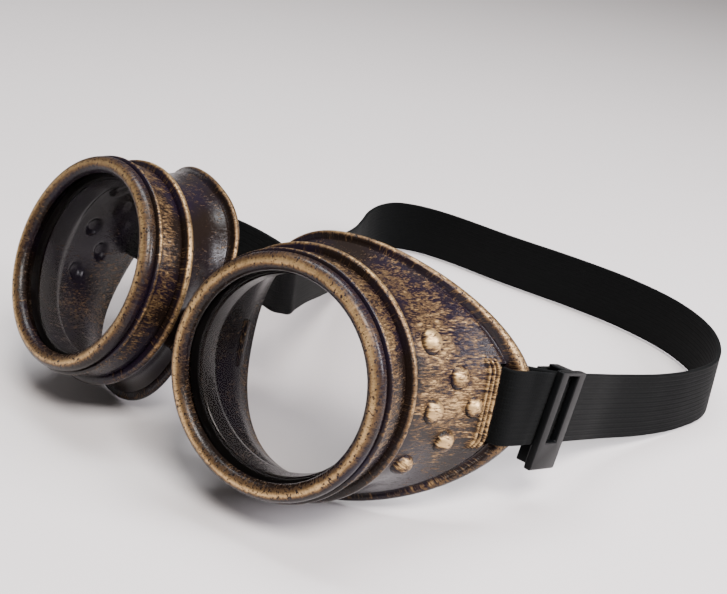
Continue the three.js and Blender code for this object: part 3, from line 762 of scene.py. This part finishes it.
def ringOutline():
    size = ringSize
    bead = (size["beadOuter"] - size["aperture"]) / 2
    middle = size["aperture"] + bead
    return [
        (size["aperture"], size["lensSeat"]),
        *arc(middle, bead, bead, 180, 100, 12),
        *arc(middle, bead, bead, 88, -38, 18),
        (size["band"] - 0.35, 3.62),
        *arc(size["band"] - 0.12, size["secondBeadAt"], size["secondBead"], 62, -62, 10),
        (size["band"] - 0.05, 5.2), (size["band"], 5.8), (size["band"], 8.0), (size["band"], 10.2),
        (size["band"], 11.5), (size["band"] - 0.22, 12.0), (size["band"] - 0.7, 12.2),
        (size["threadBore"] + 0.2, size["depth"]), (size["threadBore"], size["depth"] - 0.2),
        (size["threadBore"], 9.5), (size["threadBore"], 7.0),
        (size["lensBore"], 6.5), (size["lensBore"], 4.5), (size["lensBore"], size["lensSeat"]),
    ]


def makeRing(name, material):
    side = cupPose[name]["side"]
    outline = [(radius * mm, depth * mm) for radius, depth in ringOutline()]
    body = spun(name + "RingBody", outline, ringSize["steps"])
    places = getPlaces(body) / mm
    radius, depth = np.hypot(places[:, 0], places[:, 2]), places[:, 1]
    angles = np.arctan2(places[:, 2], side * places[:, 0])
    outside = smoothStep(radius, 29.0, 29.9)
    front = 1 - smoothStep(depth, 2.6, 3.7)
    crest = np.exp(-((radius - 28.0) / 1.05) ** 2) * (1 - smoothStep(depth, 0.9, 2.6))
    onFront = front * smoothStep(radius, 25.5, 26.4)
    onSecond = np.exp(-((depth - ringSize["secondBeadAt"]) / 0.55) ** 2) * outside
    temple = np.clip(np.cos(angles), 0, 1)
    onBand = outside * smoothStep(depth, 4.9, 5.6)
    bandWorn = 0.34 + 0.14 * temple - 0.40 * smoothStep(depth, 8.4, 11.2)
    wearAndShade = 0.05 + 0.26 * onFront + 0.62 * crest + 0.58 * onSecond + bandWorn * onBand
    groove = np.exp(-((depth - 3.5) / 0.22) ** 2) * outside
    setNumber(body, "wearAndShade", np.where(outside + front > 0.05, wearAndShade - 0.45 * groove, 0.0))
    setNumber(body, "pitted", 0.15 + 0.85 * onFront + 0.4 * onSecond)
    brush = np.stack([0.031 * np.cos(angles), 0.031 * np.sin(angles), depth * mm - radius * mm * front], -1)
    setDirection(body, "brushLine", brush)
    root = ringSize["threadBore"]
    ridge = threadRidge("ringThread", root, root - threadSize["height"], 9.5, 1.0)
    ring = joined([body, ridge], name + "LensRing")
    smooth(ring, 45)
    ring.data.transform(cupMatrix(name))
    # painted shade: the ring's undersides are darkened a little
    paintedShadeBelow(ring, 0.22)
    dress(ring, material, "ring_shell", name + "_lens_ring")
    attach(ring, name + "_ring")


lensSize = {"radius": 27.5, "front": 2.9, "thickness": 2.4, "bevel": 0.35}


def makeLens(name, material):
    size = lensSize
    deselectAll()
    bpy.ops.mesh.primitive_cylinder_add(vertices=160, radius=size["radius"] * mm,
                                        depth=size["thickness"] * mm, rotation=(math.pi / 2, 0, 0),
                                        location=(0, (size["front"] + size["thickness"] / 2) * mm, 0))
    lens = named(name + "Lens")
    bpy.ops.object.transform_apply(location=True, rotation=True, scale=True)
    bevelAll(lens, size["bevel"] * mm, 2)
    smooth(lens, 30)
    lens.data.transform(cupMatrix(name))
    dress(lens, material, "lens", name + "_lens")
    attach(lens, name + "_lens_pack")


studSize = {"reach": 5.0, "shank": 1.4, "head": 2.6, "height": 1.1, "stripThickness": 1.6, "gap": 0.3}


def makeStud(name, material):
    size, side = studSize, cupPose[name]["side"]
    front = -(lugSize["thickness"] / 2 + size["stripThickness"] + 2 * size["gap"])
    back = lugSize["thickness"] / 2 + size["gap"]
    domeTop = [(size["head"] * math.cos(t), front - size["height"] * math.sin(t))
               for t in np.linspace(0, math.pi / 2 - 0.12, 8)]
    outline = [
        (0.02, front - size["height"]), *reversed(domeTop), (size["shank"], front), (size["shank"], back),
        (size["head"] - 0.1, back), (size["head"], back + 0.1), (size["head"], back + 0.55),
        (size["head"] - 0.25, back + 0.77), (0.02, back + 0.77),
    ]
    stud = spun(name + "BridgeStud", [(r * mm, d * mm) for r, d in outline], 48)
    mergeAndTurnOut(stud, 0.00003)
    smooth(stud, 40)
    stud.data.transform(Matrix.Translation((-side * (cupSize["rimNose"] + size["reach"]) * mm,
                                            lugSize["depth"] * mm, 0)))
    stud.data.transform(cupMatrix(name))
    dress(stud, material, "stud", name + "_bridge_stud")
    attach(stud, name + "_cup")


strapSize = {"width": 20.0, "thickness": 1.2, "ribs": 13, "ribDepth": 0.10, "spacing": 1.3}
tableShift = Vector((-1.0, -95.6, 0.46))  # from between the lens centres to the frame's origin
onFloor = strapSize["width"] / 2 - 0.1


def cupPlace(name, place):
    return cupMatrix(name) @ (Vector(place) * mm) / mm


def cupUp(name):
    return (cupMatrix(name).to_3x3() @ Vector((0, 0, 1))).normalized()


def wingDirections(side):
    size = cupSize
    along = Vector(skin(0, size["slotTo"], side)) - Vector(skin(0, size["slotFrom"], side))
    along.normalize()
    return along, Vector((side * along.y, -side * along.x, 0))


# A point beside a wing in millimetres: along it, out from its skin and further back.
def besideWing(name, along, out, back=0.0):
    side = cupPose[name]["side"]
    direction, outward = wingDirections(side)
    return cupPlace(name, Vector(skin(0, along, side)) + outward * out + direction * back)


slotMiddle = (cupSize["slotFrom"] + cupSize["slotTo"]) / 2
overBead = cupSize["beadHeight"] + 0.5 + strapSize["thickness"] / 2
insideWall = -(cupSize["wall"] + 0.3 + strapSize["thickness"] / 2 + 0.8)
runStart = besideWing("left", 1, overBead, 3)
runAlong = Vector(joints["slider_slide"]["axis"]).normalized()
runUp = (Vector((0, 0, 1)) - runAlong * runAlong.z).normalized()
runOut = runAlong.cross(runUp)
runLength = 48.0
sliderAt = 10.5


def onRun(along, out=0.0, up=0.0):
    return runStart + runAlong * along + runOut * out + runUp * up


loopPoints = [  # the loop behind the cups, before tableShift
    (78.2, 128, 12.2), (81, 144, 10.6), (81.2, 160, onFloor), (75.2, 174.5, onFloor), (64.5, 187, onFloor),
    (48, 196.6, onFloor), (26, 201.1, onFloor), (4, 200.9, onFloor), (-26, 197.8, onFloor),
    (-56, 195.9, onFloor), (-69, 192.3, onFloor), (-75.8, 186.8, onFloor), (-77, 179, onFloor),
    (-74, 168, onFloor), (-67.5, 156, onFloor), (-58.5, 142, 12.5), (-46, 120, 17.5), (-31, 95, 25.5),
    (-16, 71, 34), (-8, 57, 37.5),
]
turnPoints = [(-4.6, 50.6, 38.8), (-6.6, 48.4, 39), (-12, 49.4, 39.2), (-30, 52.2, 38.6), (-50, 52.6, 37.4)]


# A smooth line through all the points, sampled evenly, with each sample's width direction.
def routeThrough(points, ups, spacing):
    points, ups = np.array(points, float), np.array(ups, float)
    padded = np.vstack([2 * points[0] - points[1], points, 2 * points[-1] - points[-2]])
    knots = np.concatenate([[0], np.cumsum(np.sqrt(np.linalg.norm(np.diff(padded, axis=0), axis=1)))])
    places, widths = [], []
    for i in range(1, len(padded) - 2):
        t0, t1, t2, t3 = knots[i - 1:i + 3]
        p0, p1, p2, p3 = padded[i - 1:i + 3]
        steps = max(2, math.ceil(np.linalg.norm(p2 - p1) / spacing))
        for t in np.linspace(t1, t2, steps + 1)[:-1]:
            a1 = (t1 - t) / (t1 - t0) * p0 + (t - t0) / (t1 - t0) * p1
            a2 = (t2 - t) / (t2 - t1) * p1 + (t - t1) / (t2 - t1) * p2
            a3 = (t3 - t) / (t3 - t2) * p2 + (t - t2) / (t3 - t2) * p3
            b1 = (t2 - t) / (t2 - t0) * a1 + (t - t0) / (t2 - t0) * a2
            b2 = (t3 - t) / (t3 - t1) * a2 + (t - t1) / (t3 - t1) * a3
            places.append((t2 - t) / (t2 - t1) * b1 + (t - t1) / (t2 - t1) * b2)
            share = (t - t1) / (t2 - t1)
            widths.append(ups[i - 1] * (1 - share) + ups[i] * share)
    return np.array([*places, points[-1]]), np.array([*widths, ups[-1]])


# The outline of a ribbed band: (across the width, through the thickness), going round once.
def bandOutline(width, thickness, ribs, ribDepth):
    perRib = 4
    across = np.linspace(-1, 1, ribs * perRib + 1)
    crown = ribDepth * (0.5 + 0.5 * np.cos(np.pi * ribs * (across + 1)))
    edge = 0.35
    across = across * (width / 2 - edge)
    half = thickness / 2 - ribDepth
    top = np.stack([across, half + crown], -1)
    turn = np.linspace(90, -90, 7)[1:-1]
    turn = np.radians(turn)
    right = np.stack([width / 2 - edge + edge * np.cos(turn), (half + ribDepth) * np.sin(turn)], -1)
    outline = np.vstack([top, right, top[::-1] * [1, -1], right[::-1] * [-1, 1]])
    return np.vstack([outline, outline[:1]])


def bandOver(name, places, ups, size):
    along = np.gradient(places, axis=0)
    along /= np.linalg.norm(along, axis=1, keepdims=True)
    ups = ups - along * (ups * along).sum(1, keepdims=True)
    ups /= np.linalg.norm(ups, axis=1, keepdims=True)
    out = np.cross(along, ups)
    outline = bandOutline(size["width"], size["thickness"], size["ribs"], size["ribDepth"])
    rings = (places[:, None] + ups[:, None] * outline[None, :, :1] + out[:, None] * outline[None, :, 1:])
    piece, order = gridOver(name, rings * mm)
    run = np.concatenate([[0], np.cumsum(np.linalg.norm(np.diff(places, axis=0), axis=1))]) * mm
    map_ = np.zeros((len(order), 2))
    grid = np.zeros(rings.shape[:2] + (2,))
    grid[..., 0] = run[:, None]
    grid[..., 1] = (outline[:, 0] / size["width"] + 0.5)[None, :]
    map_[order] = grid.reshape(-1, 2)
    layer = piece.data.uv_layers.active or piece.data.uv_layers.new()
    layer.name = "strapMap"
    corners = np.zeros(len(piece.data.loops), np.int32)
    piece.data.loops.foreach_get("vertex_index", corners)
    layer.data.foreach_set("uv", map_[corners].astype(np.float32).ravel())
    mergeAndTurnOut(piece)
    fillEnds(piece)
    smooth(piece, 50)
    return piece


def shifted(point):
    return Vector(point) + tableShift


def headStrapRoute():
    left, right, up = cupUp("left"), cupUp("right"), Vector((0, 0, 1))
    rows = [
        (besideWing("left", slotMiddle, -cupSize["wall"] / 2 + 0.2), left),
        (besideWing("left", slotMiddle, 0.6), left),
        (besideWing("left", slotMiddle, 1.7, 0.6), left),
        (besideWing("left", cupSize["slotTo"], overBead, -0.4), left),
        (besideWing("left", 1, overBead), left),
    ]
    rows += [(onRun(runLength * part), runUp) for part in (0, 0.33, 0.67, 1)]
    rows += [(shifted(point), runUp.lerp(up, min(1.0, (i + 1) / 3))) for i, point in enumerate(loopPoints)]
    rows += [(shifted(point), up.lerp(right, i / len(turnPoints))) for i, point in enumerate(turnPoints)]
    rows += [
        (besideWing("right", slotMiddle, -cupSize["wall"] - 1.9), right),
        (besideWing("right", slotMiddle, -cupSize["wall"] / 2), right),
        (besideWing("right", slotMiddle, 0.7), right),
        (besideWing("right", slotMiddle, 1.8, 0.8), right),
        (besideWing("right", cupSize["slotTo"], overBead, -0.4), right),
        (besideWing("right", 1, overBead, -0.6), right),
        (besideWing("right", 1, overBead - 0.8, 1.2), right),
        (besideWing("right", 1, -cupSize["wall"] / 2, 2.2), right),
    ]
    behind = strapSize["thickness"] + 0.6
    rows += [(shifted((x, 53.2 + behind, 37.2 + (x + 52) * 0.06)), right) for x in (-64, -58, -52)]
    return zip(*rows)


tailOver = -(strapSize["thickness"] + 0.4)
barSize = {"thickness": 1.5, "width": 3.0}
tailUnder = tailOver - strapSize["thickness"] - barSize["thickness"] - 0.6


def tailRoute():
    left = cupUp("left")
    rows = [
        (besideWing("left", slotMiddle, -cupSize["wall"] / 2 - strapSize["thickness"] / 2 - 0.7, 0.4), left),
        (besideWing("left", cupSize["slotTo"], insideWall, -0.2), left),
        (besideWing("left", 1, insideWall), left),
        (onRun(sliderAt - 4, tailOver), runUp),
        (onRun(sliderAt + barSize["width"] / 2, tailOver), runUp),
    ]
    middle, reach = (tailOver + tailUnder) / 2, (tailOver - tailUnder) / 2
    for degrees in (60, 20, -20, -60):
        angle = math.radians(degrees)
        rows.append((onRun(sliderAt + barSize["width"] / 2 + reach * math.cos(angle),
                           middle + reach * math.sin(angle)), runUp))
    rows += [
        (onRun(sliderAt + barSize["width"] / 2, tailUnder), runUp),
        (onRun(sliderAt - 6, tailUnder + 0.2), runUp),
    ]
    return zip(*rows)


def makeStraps(material):
    points, ups = headStrapRoute()
    places, widths = routeThrough(points, ups, strapSize["spacing"])
    strap = bandOver("headStrap", places, widths, strapSize)
    dress(strap, material, "elastic", "head_strap")
    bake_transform(strap)
    points, ups = tailRoute()
    places, widths = routeThrough(points, ups, strapSize["spacing"] * 0.6)
    tail = bandOver("strapTail", places, widths, strapSize)
    dress(tail, material, "elastic", "strap_tail")
    start = besideWing("left", 1, insideWall) * mm
    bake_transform(tail)


bridgeSize = {"width": 10.0, "thickness": 1.6, "ribs": 5, "ribDepth": 0.12}


def makeBridge(material):
    depth = lugSize["depth"] - lugSize["thickness"] / 2 - 0.3 - bridgeSize["thickness"] / 2
    reaches = (studSize["reach"] - 2, studSize["reach"], lugSize["length"] + 2.9)
    ends = {
        name: [cupPlace(name, (-cupPose[name]["side"] * (cupSize["rimNose"] + reach), depth, 0))
               for reach in reaches] for name in cupPose
    }
    middle = ends["left"][2].lerp(ends["right"][2], 0.5) + Vector((0, -0.4, 0))
    points = ends["left"] + [middle] + ends["right"][::-1]
    left, right = cupUp("left"), cupUp("right")
    ups = [left] * 3 + [left.lerp(right, 0.5)] + [right] * 3
    places, widths = routeThrough(points, ups, 0.6)
    strip = bandOver("bridgeStrap", places, widths, bridgeSize)
    dress(strip, material, "bridge", "bridge_strap")
    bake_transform(strip)


sliderSize = {
    "length": 14.0, "height": 27.6, "below": 2.6, "window": 20.5, "plateLow": -8.6, "bar": 3.9,
    "plate": 2.1, "rounding": 1.0,
}


def makeSlider(material):
    size = sliderSize
    front = strapSize["thickness"] / 2 + 0.3
    back = tailUnder + strapSize["thickness"] / 2 + 0.3
    low, high = -size["height"] / 2 - size["below"], size["height"] / 2 - size["below"]
    windowLow, windowHigh = -size["window"] / 2, size["window"] / 2
    half, open_ = size["length"] / 2, size["length"] / 2 - size["bar"]
    deselectAll()
    bpy.ops.mesh.primitive_cube_add(size=1)
    plate = named("sliderPlate")
    bpy.ops.object.mode_set(mode="EDIT")
    bpy.ops.transform.resize(value=(size["length"] * mm, size["height"] * mm, size["plate"] * mm))
    bpy.ops.transform.translate(value=(0, (low + high) / 2 * mm, (front + size["plate"] / 2) * mm))
    bpy.ops.mesh.select_mode(type="FACE")
    bpy.ops.mesh.select_all(action="DESELECT")
    bpy.ops.object.mode_set(mode="OBJECT")
    for face in plate.data.polygons:
        face.select = abs(face.normal.z) > 0.9
    bpy.ops.object.mode_set(mode="EDIT")
    bpy.ops.mesh.inset(thickness=size["bar"] * mm)
    bpy.ops.mesh.bridge_edge_loops()
    bpy.ops.object.mode_set(mode="OBJECT")
    places = getPlaces(plate)
    inner = np.abs(places[:, 0]) < (half - 0.5) * mm
    above = places[inner, 1] > (low + high) / 2 * mm
    places[inner, 1] = np.where(above, windowHigh * mm, size["plateLow"] * mm)
    places[inner, 0] = np.sign(places[inner, 0]) * open_ * mm
    setPlaces(plate, places)
    bevelAll(plate, size["rounding"] * mm, 4)
    pieces = [plate]
    for lowRail, highRail in ((windowHigh + 0.05, high - 0.02), (low + 0.3, windowLow - 0.05)):
        pieces.append(block("rail", Vector((-2.5, lowRail, back)) * mm,
                            Vector((2.5, highRail, front + size["plate"] - 0.3)) * mm,
                            min(0.4, (highRail - lowRail) / 2.6) * mm))
    pieces.append(block("bar", Vector((-1.5, windowLow - 0.6, back)) * mm,
                        Vector((1.5, windowHigh + 0.4, back + barSize["thickness"])) * mm, 0.4 * mm))
    slider = joined(pieces, "strapSlider")
    smooth(slider, 35)
    basis = Matrix((runAlong, runUp, runOut)).transposed().to_4x4()
    slider.data.transform(Matrix.Translation(onRun(sliderAt) * mm) @ basis)
    dress(slider, material, "slider", "strap_slider")
    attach(slider, "slider")


def makeFloor():
    deselectAll()
    bpy.ops.mesh.primitive_plane_add(size=floorSetup["size"], location=(0, 0, -0.0004))
    floor = named("floor")
    floor.data.materials.append(floorPaint())


makeCamera()
makeLights()
makeFloor()
print("camera, light and floor are set")

brass, lensMaterial, elastic = brassPaint(), clearLens(), wovenElastic()
brassStud = dullBrass()
rubber = mouldedPlastic("gasketRubber", (0.004, 0.0035, 0.0035), 0.65, 0.3)
bridgeMaterial = mouldedPlastic("bridgePlastic", (0.006, 0.005, 0.006), 0.5, 0.3)
sliderMaterial = mouldedPlastic("sliderPlastic", (0.0010, 0.0012, 0.0014), 0.42, 0.3)
for cupName in cupPose:
    makeEyecup(cupName, brass)
    makeRing(cupName, brass)
    makeLens(cupName, lensMaterial)
    makeStud(cupName, brassStud)
    gasket = frame["nodes"][cupName + "_lens_gasket"]
    gasket.data.materials.clear()
    gasket.data.materials.append(rubber)
    print(cupName, "cup is made")
makeBridge(bridgeMaterial)
makeStraps(elastic)
makeSlider(sliderMaterial)
print("straps and slider are made")

deselectAll()
